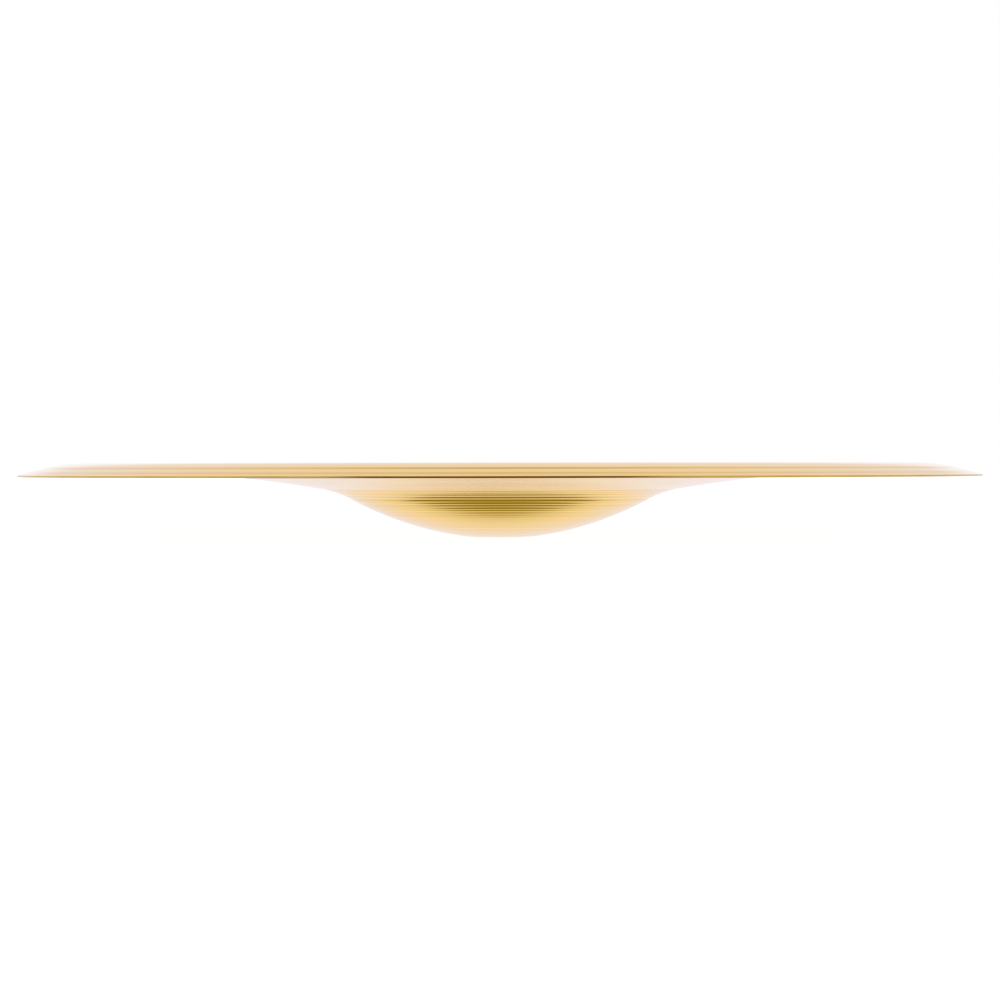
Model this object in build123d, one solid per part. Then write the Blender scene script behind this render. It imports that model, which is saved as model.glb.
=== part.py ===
from build123d import *
import os
from math import cos, radians, sin

os.makedirs("parts", exist_ok=True)

# A china-type crash cymbal: one sheet of bronze, spun to a shape of revolution, with its rim
# flange turned back. It lies bell down. The origin is the centre of the stand hole on the bell's
# flat outer seat, and +Z is the axis, towards the open side. All lengths are in millimetres and
# all slopes in degrees, positive where the sheet rises on its way out to the rim.

# Driving dimensions
cymbal_diameter = 406.4
hole_diameter = 12.0
seat_diameter = 18.0
seat_thickness = 1.15
rim_thickness = 0.78
rim_round = 0.08

# The outer face's meridian, from the seat outwards. Each stretch runs on tangent to the last.
apex_radius = 55.0
apex_slope = 8.2
bell_radius = 139.0
bell_slope = 28.4
shoulder_radius = 44.0
shoulder_slope = 9.2
bow_radius = 940.0
bow_slope = 4.4
crest_radius = 260.0
flange_radius = 70.0
flange_slope = -14.0

hole_radius = hole_diameter / 2
seat_radius = seat_diameter / 2
# The rim's edge is cut square to the sheet and rounded to a wide arc, which stands out from the
# ends of both faces by rim_round. The outer face ends where that arc reaches the full diameter.
edge_radius = ((rim_thickness / 2) ** 2 + rim_round**2) / (2 * rim_round)
edge_reach = edge_radius + (rim_round - edge_radius) * cos(radians(flange_slope))
rim_radius = cymbal_diameter / 2 - edge_reach + rim_thickness / 2 * sin(radians(flange_slope))


def straight(start, length):
    """Stations (radius, height, slope) at both ends of a straight stretch."""
    r, z, slope = start
    end = (r + length * cos(slope), z + length * sin(slope), slope)
    return [start, end]


def curved(start, radius, end_slope_degrees):
    """Stations at the start, middle and end of a round stretch that turns to the end slope."""
    r, z, slope = start
    end_slope = radians(end_slope_degrees)
    side = 1 if end_slope > slope else -1
    stations = [start]
    for turned in ((slope + end_slope) / 2, end_slope):
        across = side * radius * (sin(turned) - sin(slope))
        up = side * radius * (cos(slope) - cos(turned))
        stations.append((r + across, z + up, turned))
    return stations


def outer_face():
    """The stretches of the outer face's meridian, from the hole's edge to the rim."""
    seat = straight((hole_radius, 0.0, 0.0), seat_radius - hole_radius)
    apex = curved(seat[-1], apex_radius, apex_slope)
    bell = curved(apex[-1], bell_radius, bell_slope)
    shoulder = curved(bell[-1], shoulder_radius, shoulder_slope)
    bow = curved(shoulder[-1], bow_radius, bow_slope)
    crest = curved(bow[-1], crest_radius, 0.0)
    flange = curved(crest[-1], flange_radius, flange_slope)
    rim = straight(flange[-1], (rim_radius - flange[-1][0]) / cos(radians(flange_slope)))
    return [seat, apex, bell, shoulder, bow, crest, flange, rim]


def outer_point(station):
    r, z, slope = station
    return (r, 0, z)


def inner_point(station):
    """The point on the inner face, square through the sheet, which thins towards the rim."""
    r, z, slope = station
    way_out = max(0.0, r - seat_radius) / (rim_radius - seat_radius)
    thickness = seat_thickness + (rim_thickness - seat_thickness) * way_out
    return (r - thickness * sin(slope), 0, z + thickness * cos(slope))


def face_edges(stretches, point):
    """One face's edges: a line for each straight stretch and an arc for each round one."""
    edges = []
    for stations in stretches:
        points = [point(station) for station in stations]
        if len(points) == 2:
            edges.append(Line(*points))
        else:
            edges.append(ThreePointArc(*points))
    return edges


def rim_edge(rim_station):
    """The rounded edge of the rim, which stands out past the ends of both faces."""
    slope = rim_station[2]
    outer = Vector(*outer_point(rim_station))
    inner = Vector(*inner_point(rim_station))
    tip = (outer + inner) * 0.5 + Vector(cos(slope), 0, sin(slope)) * rim_round
    return ThreePointArc(outer, tip, inner)


def make_cymbal():
    stretches = outer_face()
    hole_station = stretches[0][0]
    rim_station = stretches[-1][-1]
    section = face_edges(stretches, outer_point)
    section.append(rim_edge(rim_station))
    section += face_edges(stretches, inner_point)
    section.append(Line(outer_point(hole_station), inner_point(hole_station)))
    return revolve(make_face(section), Axis.Z, 360)


cymbal = make_cymbal()
cymbal.label = "cymbal"
export_step(cymbal, "parts/cymbal.step")
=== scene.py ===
import random
from collections import namedtuple
from math import asin, cos, pi, radians, sin, tan

import bpy
from mathutils import Euler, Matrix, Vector


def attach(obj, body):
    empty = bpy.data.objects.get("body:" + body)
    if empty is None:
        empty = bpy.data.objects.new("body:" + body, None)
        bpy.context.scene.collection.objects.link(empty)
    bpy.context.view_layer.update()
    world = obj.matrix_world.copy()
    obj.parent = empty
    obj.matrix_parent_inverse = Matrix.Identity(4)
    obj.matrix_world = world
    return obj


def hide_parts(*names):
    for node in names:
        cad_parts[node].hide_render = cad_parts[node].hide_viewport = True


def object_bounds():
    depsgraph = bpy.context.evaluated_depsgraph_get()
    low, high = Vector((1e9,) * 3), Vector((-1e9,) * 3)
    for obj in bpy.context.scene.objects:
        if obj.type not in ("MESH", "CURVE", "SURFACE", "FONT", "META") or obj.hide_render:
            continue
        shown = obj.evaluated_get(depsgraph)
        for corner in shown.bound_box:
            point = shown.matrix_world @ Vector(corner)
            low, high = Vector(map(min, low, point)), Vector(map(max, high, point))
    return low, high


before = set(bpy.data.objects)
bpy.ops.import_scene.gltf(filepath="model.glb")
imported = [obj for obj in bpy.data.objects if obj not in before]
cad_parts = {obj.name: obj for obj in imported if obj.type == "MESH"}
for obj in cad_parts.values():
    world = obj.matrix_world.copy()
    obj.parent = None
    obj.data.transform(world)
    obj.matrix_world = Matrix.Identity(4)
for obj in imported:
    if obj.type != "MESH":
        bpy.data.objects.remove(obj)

cad_low, cad_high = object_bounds()

# ---------------------------------------------------------------------------------------------
# Sizes, in millimetres and degrees, as in the design of the part. The mesh is made in metres.

MM = 0.001
HOLE_RADIUS = 6.0
SEAT_RADIUS = 9.0
SEAT_THICKNESS = 1.15
RIM_THICKNESS = 0.78
RIM_ROUND = 0.08

# The outer face's meridian beyond the seat: arcs as (radius, slope at their end).
APEX = (55.0, 8.2)
BELL = (139.0, 28.4)
SHOULDER = (44.0, 9.2)
BOW = (940.0, 4.4)
CREST = (260.0, 0.0)
FLANGE = (70.0, -14.0)

FULL_RADIUS = (cad_high.x - cad_low.x) / 2 / MM
EDGE_RADIUS = ((RIM_THICKNESS / 2) ** 2 + RIM_ROUND**2) / (2 * RIM_ROUND)
EDGE_REACH = EDGE_RADIUS + (RIM_ROUND - EDGE_RADIUS) * cos(radians(FLANGE[1]))
RIM_RADIUS = FULL_RADIUS - EDGE_REACH + RIM_THICKNESS / 2 * sin(radians(FLANGE[1]))

# How fine the mesh is: pieces round the axis, pieces across the rim's edge, and the length of the
# pieces on a plain stretch.
SEGMENTS = 192
EDGE_STEPS = 8
PLAIN_STEP = 1.6

# The lathe's grooves: about how wide, how steep their sides are at a stretch's first and last
# groove, and the mesh's steps across one. The steepness is a guess, chosen so that the outer face
# shows lines as strong as the real cymbal's, and they are strongest on the bell's shoulder.
Groove = namedtuple("Groove", "width first_slope last_slope steps")
OUTER_BELL = Groove(2.25, 0.8, 7.6, 4)
OUTER_SHOULDER = Groove(2.7, 14.0, 17.0, 5)
OUTER_BOW = Groove(3.1, 6.0, 2.0, 3)
INNER_BELL = Groove(2.25, 0.8, 4.0, 3)
INNER_SHOULDER = Groove(2.25, 4.0, 5.0, 3)
INNER_BOW = Groove(3.1, 5.0, 1.0, 3)

# How far a ridge between two grooves strays, and a groove's steepness varies, as shares of each.
RIDGE_STRAY = 0.06
BITE_SPREAD = 0.15
LATHE_SEED = 7

# The broad steps turned into the flange, from the crest out to the rim. Each starts with a steep
# part, then rises slowly. The steep part of the deeper steps is painted darker, as painted shade.
FlangeStep = namedtuple("FlangeStep", "width slope tarnished")
FLANGE_STEPS = (
    FlangeStep(8.0, 0.3, False),
    FlangeStep(7.5, 2.6, True),
    FlangeStep(5.4, 0.6, True),
)
STEPPED_WIDTH = sum(step.width for step in FLANGE_STEPS)
STEEP_WIDTH = 2.4
STEEP_PIECES = 4
SLOW_PIECES = 6


# ---------------------------------------------------------------------------------------------
# The meridian: the outer face's outline from the hole to the rim, by length along it


class Meridian:
    """Stretches tangent to each other: (length at its start, radius, height, slope, bend)."""

    def __init__(self, radius, height, slope):
        self.length = 0.0
        self.end = (radius, height, slope)
        self.stretches = []

    def straight(self, length):
        self.stretches.append((self.length, *self.end, 0.0))
        self.length += length
        self.end = self.at(self.length)

    def curved(self, radius, end_slope_degrees):
        turn = radians(end_slope_degrees) - self.end[2]
        bend = 1 / radius if turn > 0 else -1 / radius
        self.stretches.append((self.length, *self.end, bend))
        self.length += turn / bend
        self.end = self.at(self.length)

    def at(self, length):
        """Radius, height and slope at a length along the outline."""
        began, r, z, slope, bend = [s for s in self.stretches if s[0] <= length + 1e-9][-1]
        way = length - began
        if bend == 0:
            return (r + way * cos(slope), z + way * sin(slope), slope)
        now = slope + bend * way
        return (r + (sin(now) - sin(slope)) / bend, z + (cos(slope) - cos(now)) / bend, now)


def make_meridian():
    m = Meridian(HOLE_RADIUS, 0.0, 0.0)
    m.straight(SEAT_RADIUS - HOLE_RADIUS)
    for stretch in (APEX, BELL, SHOULDER, BOW, CREST, FLANGE):
        m.curved(*stretch)
    m.straight((RIM_RADIUS - m.end[0]) / cos(m.end[2]))
    return m


def thickness_at(radius):
    way_out = max(0.0, radius - SEAT_RADIUS) / (RIM_RADIUS - SEAT_RADIUS)
    return SEAT_THICKNESS + (RIM_THICKNESS - SEAT_THICKNESS) * way_out


# ---------------------------------------------------------------------------------------------
# The lathe's work. A face is listed as rings of the mesh: (length along it, depth cut, sharp)


def plain_face(start, end):
    """An uncut stretch, without its first ring."""
    pieces = max(1, round((end - start) / PLAIN_STEP))
    return [(start + (end - start) * i / pieces, 0.0, False) for i in range(1, pieces + 1)]


def grooved_face(start, end, groove, rng):
    """Round-bottomed grooves side by side, with a sharp ridge between each two."""
    count = max(1, round((end - start) / groove.width))
    ridges = [start + (end - start) * i / count for i in range(count + 1)]
    for i in range(1, count):
        ridges[i] += rng.uniform(-RIDGE_STRAY, RIDGE_STRAY) * groove.width
    rings = []
    for here, there in zip(ridges, ridges[1:]):
        bite = ((here - start) / (end - start)) ** 3
        slope = groove.first_slope + (groove.last_slope - groove.first_slope) * bite
        slope *= rng.uniform(1 - BITE_SPREAD, 1 + BITE_SPREAD)
        depth = tan(radians(slope)) * (there - here) / 4
        for i in range(1, groove.steps + 1):
            across = i / groove.steps
            cut = depth * 4 * across * (1 - across)
            rings.append((here + (there - here) * across, cut, i == groove.steps))
    return rings


def stepped_face(start):
    """The broad steps of the flange: each is cut quickly to its depth and comes back slowly."""
    rings = []
    for step in FLANGE_STEPS:
        depth = tan(radians(step.slope)) * 2 * STEEP_WIDTH / pi
        for i in range(1, STEEP_PIECES + 1):
            way = STEEP_WIDTH * i / STEEP_PIECES
            rings.append((start + way, depth * (1 - cos(pi * i / STEEP_PIECES)) / 2, False))
        for i in range(1, SLOW_PIECES + 1):
            way = STEEP_WIDTH + (step.width - STEEP_WIDTH) * i / SLOW_PIECES
            rings.append((start + way, depth * (1 + cos(pi * i / SLOW_PIECES)) / 2, False))
        start += step.width
    return rings


# ---------------------------------------------------------------------------------------------
# The mesh


def lathed_face(m, bell_groove, shoulder_groove, bow_groove, rng):
    """One face from the hole to the rim."""
    seat, apex, _, shoulder, bow = (stretch[0] for stretch in m.stretches[:5])
    steps = m.length - STEPPED_WIDTH
    rings = [(seat, 0.0, True)]
    rings += plain_face(seat, apex)
    rings += grooved_face(apex, shoulder, bell_groove, rng)
    rings += grooved_face(shoulder, bow, shoulder_groove, rng)
    rings += grooved_face(bow, steps, bow_groove, rng)
    rings += stepped_face(steps)
    return rings


def rim_edge(low, high, slope):
    """The rim's wide rounded edge, between the ends of the two faces."""
    # The arc's middle stands out from the ends of the faces by RIM_ROUND.
    to_centre = RIM_ROUND - EDGE_RADIUS
    centre_r = (low[0] + high[0]) / 2 + to_centre * cos(slope)
    centre_z = (low[1] + high[1]) / 2 + to_centre * sin(slope)
    half = asin(RIM_THICKNESS / 2 / EDGE_RADIUS)
    points = []
    for i in range(1, EDGE_STEPS):
        turn = slope + half * (2 * i / EDGE_STEPS - 1)
        r = centre_r + EDGE_RADIUS * cos(turn)
        z = centre_z + EDGE_RADIUS * sin(turn)
        points.append((r, z, False))
    return points


def make_section(m):
    """The closed outline as (radius, height, sharp), and the number of the edge's first side."""
    rng = random.Random(LATHE_SEED)

    def outer(length, cut):
        r, z, slope = m.at(length)
        return (r - cut * sin(slope), z + cut * cos(slope))

    def inner(length, cut):
        r, z, slope = m.at(length)
        up = thickness_at(r) - cut
        return (r - up * sin(slope), z + up * cos(slope))

    outside = lathed_face(m, OUTER_BELL, OUTER_SHOULDER, OUTER_BOW, rng)
    inside = lathed_face(m, INNER_BELL, INNER_SHOULDER, INNER_BOW, rng)
    front = [(*outer(length, cut), sharp) for length, cut, sharp in outside]
    back = [(*inner(length, cut), sharp) for length, cut, sharp in inside]
    edge = rim_edge(outer(m.length, 0.0), inner(m.length, 0.0), m.end[2])
    front[-1] = (*front[-1][:2], True)
    back[-1] = (*back[-1][:2], True)
    return front + edge + back[::-1], len(front) - 1


def revolve(name, section, edge_start):
    """A closed mesh of revolution about Z. The rim's edge and the hole have material 1."""
    verts = []
    for r, z, sharp in section:
        for k in range(SEGMENTS):
            angle = 2 * pi * k / SEGMENTS
            verts.append((r * cos(angle) * MM, r * sin(angle) * MM, z * MM))
    faces = []
    materials = []
    count = len(section)
    for i in range(count):
        j = (i + 1) % count
        cut = edge_start <= i < edge_start + EDGE_STEPS or i == count - 1
        for k in range(SEGMENTS):
            n = (k + 1) % SEGMENTS
            faces.append((i * SEGMENTS + k, i * SEGMENTS + n, j * SEGMENTS + n, j * SEGMENTS + k))
            materials.append(1 if cut else 0)
    mesh = bpy.data.meshes.new(name)
    mesh.from_pydata(verts, [], faces)
    mesh.polygons.foreach_set("material_index", materials)
    mesh.shade_smooth()
    sharp_rings = {i for i, point in enumerate(section) if point[2]}
    marks = mesh.attributes.new("sharp_edge", "BOOLEAN", "EDGE")
    for edge in mesh.edges:
        a, b = edge.vertices
        same_ring = a // SEGMENTS == b // SEGMENTS
        marks.data[edge.index].value = same_ring and a // SEGMENTS in sharp_rings
    mesh.update()
    piece = bpy.data.objects.new(name, mesh)
    bpy.context.scene.collection.objects.link(piece)
    return piece


# ---------------------------------------------------------------------------------------------
# Materials

# Bronze has a darker and a lighter tone from ring to ring.
POLISHED_BRONZE = ((0.915, 0.605, 0.16), (0.99, 0.715, 0.24))
# The darker bronze painted as shade into the steep part of the flange's deeper steps.
SHADE_PAINTED_BRONZE = (0.77, 0.48, 0.06)
# The rim's edge and the hole are painted darker than the polished faces, as painted shade on the
# thin edge.
EDGE_BRONZE_WITH_PAINTED_SHADE = ((0.58, 0.39, 0.09), (0.68, 0.48, 0.13))
POLISHED_ROUGHNESS = (0.035, 0.075)
CUT_ROUGHNESS = (0.16, 0.26)
NOISE_RANGE = (0.2, 0.8)

# How far the painted shade fades outside and inside the ends of a steep part, in millimetres, and
# the room kept for it inwards of the first step.
FADE_OUTSIDE = 0.6
FADE_INSIDE = 0.7
FADE_ROOM = 1.0


def new_material(name):
    material = bpy.data.materials.new(name)
    material.use_nodes = True
    tree = material.node_tree
    tree.nodes.clear()
    return material, tree


def metal(name, anisotropic):
    material, tree = new_material(name)
    output = tree.nodes.new("ShaderNodeOutputMaterial")
    shader = tree.nodes.new("ShaderNodeBsdfPrincipled")
    tree.links.new(shader.outputs["BSDF"], output.inputs["Surface"])
    shader.inputs["Metallic"].default_value = 1.0
    shader.inputs["Anisotropic"].default_value = anisotropic
    # The lathe's scratches run round the cymbal and blur what it mirrors across them.
    shader.inputs["Anisotropic Rotation"].default_value = 0.25
    tangent = tree.nodes.new("ShaderNodeTangent")
    tangent.direction_type = "RADIAL"
    tangent.axis = "Z"
    tree.links.new(tangent.outputs["Tangent"], shader.inputs["Tangent"])
    return material, tree, shader


def place_on(tree):
    """The place on the cymbal, in metres."""
    return tree.nodes.new("ShaderNodeTexCoord").outputs["Object"]


def axis_distance(tree, place):
    flat = tree.nodes.new("ShaderNodeVectorMath")
    flat.operation = "MULTIPLY"
    flat.inputs[1].default_value = (1, 1, 0)
    tree.links.new(place, flat.inputs[0])
    length = tree.nodes.new("ShaderNodeVectorMath")
    length.operation = "LENGTH"
    tree.links.new(flat.outputs["Vector"], length.inputs[0])
    return length.outputs["Value"]


def ring_noise(tree, radius, scale, detail):
    """Noise that depends on the radius alone."""
    noise = tree.nodes.new("ShaderNodeTexNoise")
    noise.noise_dimensions = "1D"
    noise.inputs["Scale"].default_value = scale
    noise.inputs["Detail"].default_value = detail
    tree.links.new(radius, noise.inputs["W"])
    return noise.outputs["Fac"]


def cloud_noise(tree, place, scale, detail):
    noise = tree.nodes.new("ShaderNodeTexNoise")
    noise.inputs["Scale"].default_value = scale
    noise.inputs["Detail"].default_value = detail
    tree.links.new(place, noise.inputs["Vector"])
    return noise.outputs["Fac"]


def ramp(tree, value, stops):
    """A colour ramp from (position, colour) stops."""
    node = tree.nodes.new("ShaderNodeValToRGB")
    elements = node.color_ramp.elements
    while len(elements) < len(stops):
        elements.new(0.5)
    for element, (position, colour) in zip(elements, stops):
        element.position = position
        element.color = (*colour, 1)
    tree.links.new(value, node.inputs["Fac"])
    return node.outputs["Color"]


def map_range(tree, value, source, target, smooth=False):
    node = tree.nodes.new("ShaderNodeMapRange")
    if smooth:
        node.interpolation_type = "SMOOTHSTEP"
    node.inputs["From Min"].default_value, node.inputs["From Max"].default_value = source
    node.inputs["To Min"].default_value, node.inputs["To Max"].default_value = target
    tree.links.new(value, node.inputs["Value"])
    return node.outputs["Result"]


def math_node(tree, operation, *values):
    node = tree.nodes.new("ShaderNodeMath")
    node.operation = operation
    for socket, value in zip(node.inputs, values):
        if isinstance(value, (int, float)):
            socket.default_value = value
        else:
            tree.links.new(value, socket)
    return node.outputs["Value"]


def painted_shade_mask(tree, radius):
    """1 in the steep part of the flange's deeper steps, where shade is painted into the colour.
    """
    reach = STEPPED_WIDTH + FADE_ROOM
    stops = [(0.0, (0, 0, 0))]
    start = FADE_ROOM
    for step in FLANGE_STEPS:
        full = 1 if step.tarnished else 0
        end = start + STEEP_WIDTH
        marks = ((start - FADE_OUTSIDE, 0), (start + FADE_INSIDE, full))
        marks += ((end - FADE_INSIDE, full), (end + FADE_OUTSIDE, 0))
        stops += [(way / reach, (share, share, share)) for way, share in marks]
        start += step.width
    inward = RIM_RADIUS - reach * cos(radians(FLANGE[1]))
    return ramp(tree, map_range(tree, radius, (inward * MM, RIM_RADIUS * MM), (0, 1)), stops)


def bronze_material():
    """Polished bronze under fine lathe rings."""
    material, tree, shader = metal("lathed_bronze", 0.4)
    place = place_on(tree)
    radius = axis_distance(tree, place)
    clouds = math_node(tree, "MULTIPLY", cloud_noise(tree, place, 14.0, 5.0), 0.3)
    tone = math_node(tree, "ADD", ring_noise(tree, radius, 450.0, 4.0), clouds)
    polished = ramp(tree, tone, list(zip((0.45, 0.85), POLISHED_BRONZE)))
    colour = tree.nodes.new("ShaderNodeMix")
    colour.data_type = "RGBA"
    # Painted shade: the steep parts of the deeper flange steps are mixed towards the darker
    # bronze.
    tree.links.new(painted_shade_mask(tree, radius), colour.inputs["Factor"])
    tree.links.new(polished, colour.inputs["A"])
    colour.inputs["B"].default_value = (*SHADE_PAINTED_BRONZE, 1)
    tree.links.new(colour.outputs["Result"], shader.inputs["Base Color"])
    rings = ring_noise(tree, radius, 420.0, 4.0)
    rough = map_range(tree, rings, NOISE_RANGE, POLISHED_ROUGHNESS)
    tree.links.new(rough, shader.inputs["Roughness"])
    return material


def edge_material():
    """The duller, rougher cut metal of the rim and the hole, its darker colour being painted
    shade.
    """
    material, tree, shader = metal("cut_bronze_with_painted_shade", 0.2)
    clouds = cloud_noise(tree, place_on(tree), 60.0, 6.0)
    colour = ramp(tree, clouds, list(zip((0.3, 0.7), EDGE_BRONZE_WITH_PAINTED_SHADE)))
    tree.links.new(colour, shader.inputs["Base Color"])
    rough = map_range(tree, clouds, NOISE_RANGE, CUT_ROUGHNESS)
    tree.links.new(rough, shader.inputs["Roughness"])
    return material


def floor_material():
    """A white floor like a light table: it glows, and takes a faint shadow."""
    material, tree = new_material("white_floor")
    output = tree.nodes.new("ShaderNodeOutputMaterial")
    add = tree.nodes.new("ShaderNodeAddShader")
    glow = tree.nodes.new("ShaderNodeEmission")
    glow.inputs["Strength"].default_value = 0.96
    matt = tree.nodes.new("ShaderNodeBsdfDiffuse")
    matt.inputs["Color"].default_value = (0.35, 0.35, 0.35, 1)
    tree.links.new(glow.outputs["Emission"], add.inputs[0])
    tree.links.new(matt.outputs["BSDF"], add.inputs[1])
    tree.links.new(add.outputs["Shader"], output.inputs["Surface"])
    return material


# ---------------------------------------------------------------------------------------------
# The cymbal

meridian = make_meridian()
cymbal = revolve("bronze_cymbal", *make_section(meridian))
cymbal.data.materials.append(bronze_material())
cymbal.data.materials.append(edge_material())
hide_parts("cymbal")
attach(cymbal, "root")


# ---------------------------------------------------------------------------------------------
# Studio: a pale floor in a tinted tent, dark far below and behind the camera

FLOOR_RADIUS = 12.0
FLOOR_GAP = 0.2 * MM

floor_height = cad_low.z - FLOOR_GAP
bpy.ops.mesh.primitive_circle_add(
    vertices=96, radius=FLOOR_RADIUS, fill_type="NGON", location=(0, 0, floor_height)
)
floor = bpy.context.object
floor.name = "floor"
floor.data.materials.append(floor_material())
# The metal mirrors the tent below it, and not the floor.
floor.visible_glossy = False

# What the metal mirrors, by elevation in degrees. The tints were matched by number to
# the tones that the real cymbal shows, so they stand for its studio and aren't measured from it.
SURROUNDINGS = [
    (-90, (0.30, 0.25, 0.02)),
    (-51, (0.31, 0.25, 0.015)),
    (-47, (0.60, 0.54, 0.33)),
    (-44, (0.77, 0.73, 0.61)),
    (-39, (0.86, 0.82, 0.72)),
    (-34, (0.95, 0.89, 0.82)),
    (-28, (0.93, 0.89, 0.96)),
    (-8, (0.92, 0.90, 1.00)),
    (5, (0.98, 0.95, 0.99)),
    (10, (0.88, 0.83, 0.84)),
    (22, (0.89, 0.82, 0.80)),
    (28, (0.88, 0.82, 0.71)),
    (34, (0.55, 0.50, 0.42)),
    (52, (0.50, 0.50, 0.50)),
    (60, (0.95, 0.95, 0.95)),
    (90, (0.95, 0.95, 0.95)),
]

# The dark room behind the camera: its colour, and the degrees to either side of the camera and
# above the horizon from which it fades, and by which it has gone.
DARK_ROOM = (0.19, 0.095, 0.0)
DARK_AZIMUTH = (32, 42)
DARK_TOP = (2, 7)


def make_world():
    world = bpy.data.worlds.new("white_studio")
    bpy.context.scene.world = world
    world.use_nodes = True
    tree = world.node_tree
    tree.nodes.clear()
    output = tree.nodes.new("ShaderNodeOutputWorld")
    way = tree.nodes.new("ShaderNodeTexCoord")
    split = tree.nodes.new("ShaderNodeSeparateXYZ")
    tree.links.new(way.outputs["Generated"], split.inputs[0])
    x, y, z = split.outputs

    height = map_range(tree, z, (-1, 1), (0, 1))
    stops = [((sin(radians(elevation)) + 1) / 2, colour) for elevation, colour in SURROUNDINGS]
    tent = ramp(tree, height, stops)

    towards_camera = math_node(tree, "MULTIPLY", y, -1)
    aside = math_node(tree, "ABSOLUTE", math_node(tree, "ARCTAN2", x, towards_camera))
    behind = map_range(tree, aside, [radians(a) for a in DARK_AZIMUTH], (1, 0), smooth=True)
    below = map_range(tree, z, [sin(radians(a)) for a in DARK_TOP], (1, 0), smooth=True)
    dark = tree.nodes.new("ShaderNodeMix")
    dark.data_type = "RGBA"
    tree.links.new(math_node(tree, "MULTIPLY", behind, below), dark.inputs["Factor"])
    tree.links.new(tent, dark.inputs["A"])
    dark.inputs["B"].default_value = (*DARK_ROOM, 1)

    # The metal mirrors the studio, and the camera sees plain white behind the cymbal.
    studio = tree.nodes.new("ShaderNodeBackground")
    tree.links.new(dark.outputs["Result"], studio.inputs["Color"])
    seen = tree.nodes.new("ShaderNodeBackground")
    seen.inputs["Color"].default_value = (1, 1, 1, 1)
    rays = tree.nodes.new("ShaderNodeLightPath")
    mix = tree.nodes.new("ShaderNodeMixShader")
    tree.links.new(rays.outputs["Is Camera Ray"], mix.inputs["Fac"])
    tree.links.new(studio.outputs["Background"], mix.inputs[1])
    tree.links.new(seen.outputs["Background"], mix.inputs[2])
    tree.links.new(mix.outputs["Shader"], output.inputs["Surface"])


make_world()


# ---------------------------------------------------------------------------------------------
# Camera: nearly level, a little above the rim

LENS = 100.0
SENSOR = 36.0
# The width that the picture takes in at the axis.
FRAME_WIDTH = 427.0 * MM
ABOVE_RIM = 3.2 * MM
DOWN_DEGREES = 0.661
ROLL_DEGREES = 0.085

rim_height = (meridian.end[1] + RIM_THICKNESS / 2) * MM
eye = Vector((0, -FRAME_WIDTH * LENS / SENSOR, rim_height + ABOVE_RIM))

camera_data = bpy.data.cameras.new("camera")
camera_data.lens = LENS
camera_data.sensor_width = SENSOR
camera_data.clip_end = 100.0
camera = bpy.data.objects.new("camera", camera_data)
bpy.context.scene.collection.objects.link(camera)
camera.location = eye
camera.rotation_euler = Euler((pi / 2 - radians(DOWN_DEGREES), radians(ROLL_DEGREES), 0), "XYZ")
bpy.context.scene.camera = camera

bpy.context.scene.view_settings.view_transform = "Standard"

# ---------------------------------------------------------------------------------------------
# Bring the scene up to date

bpy.context.view_layer.update()
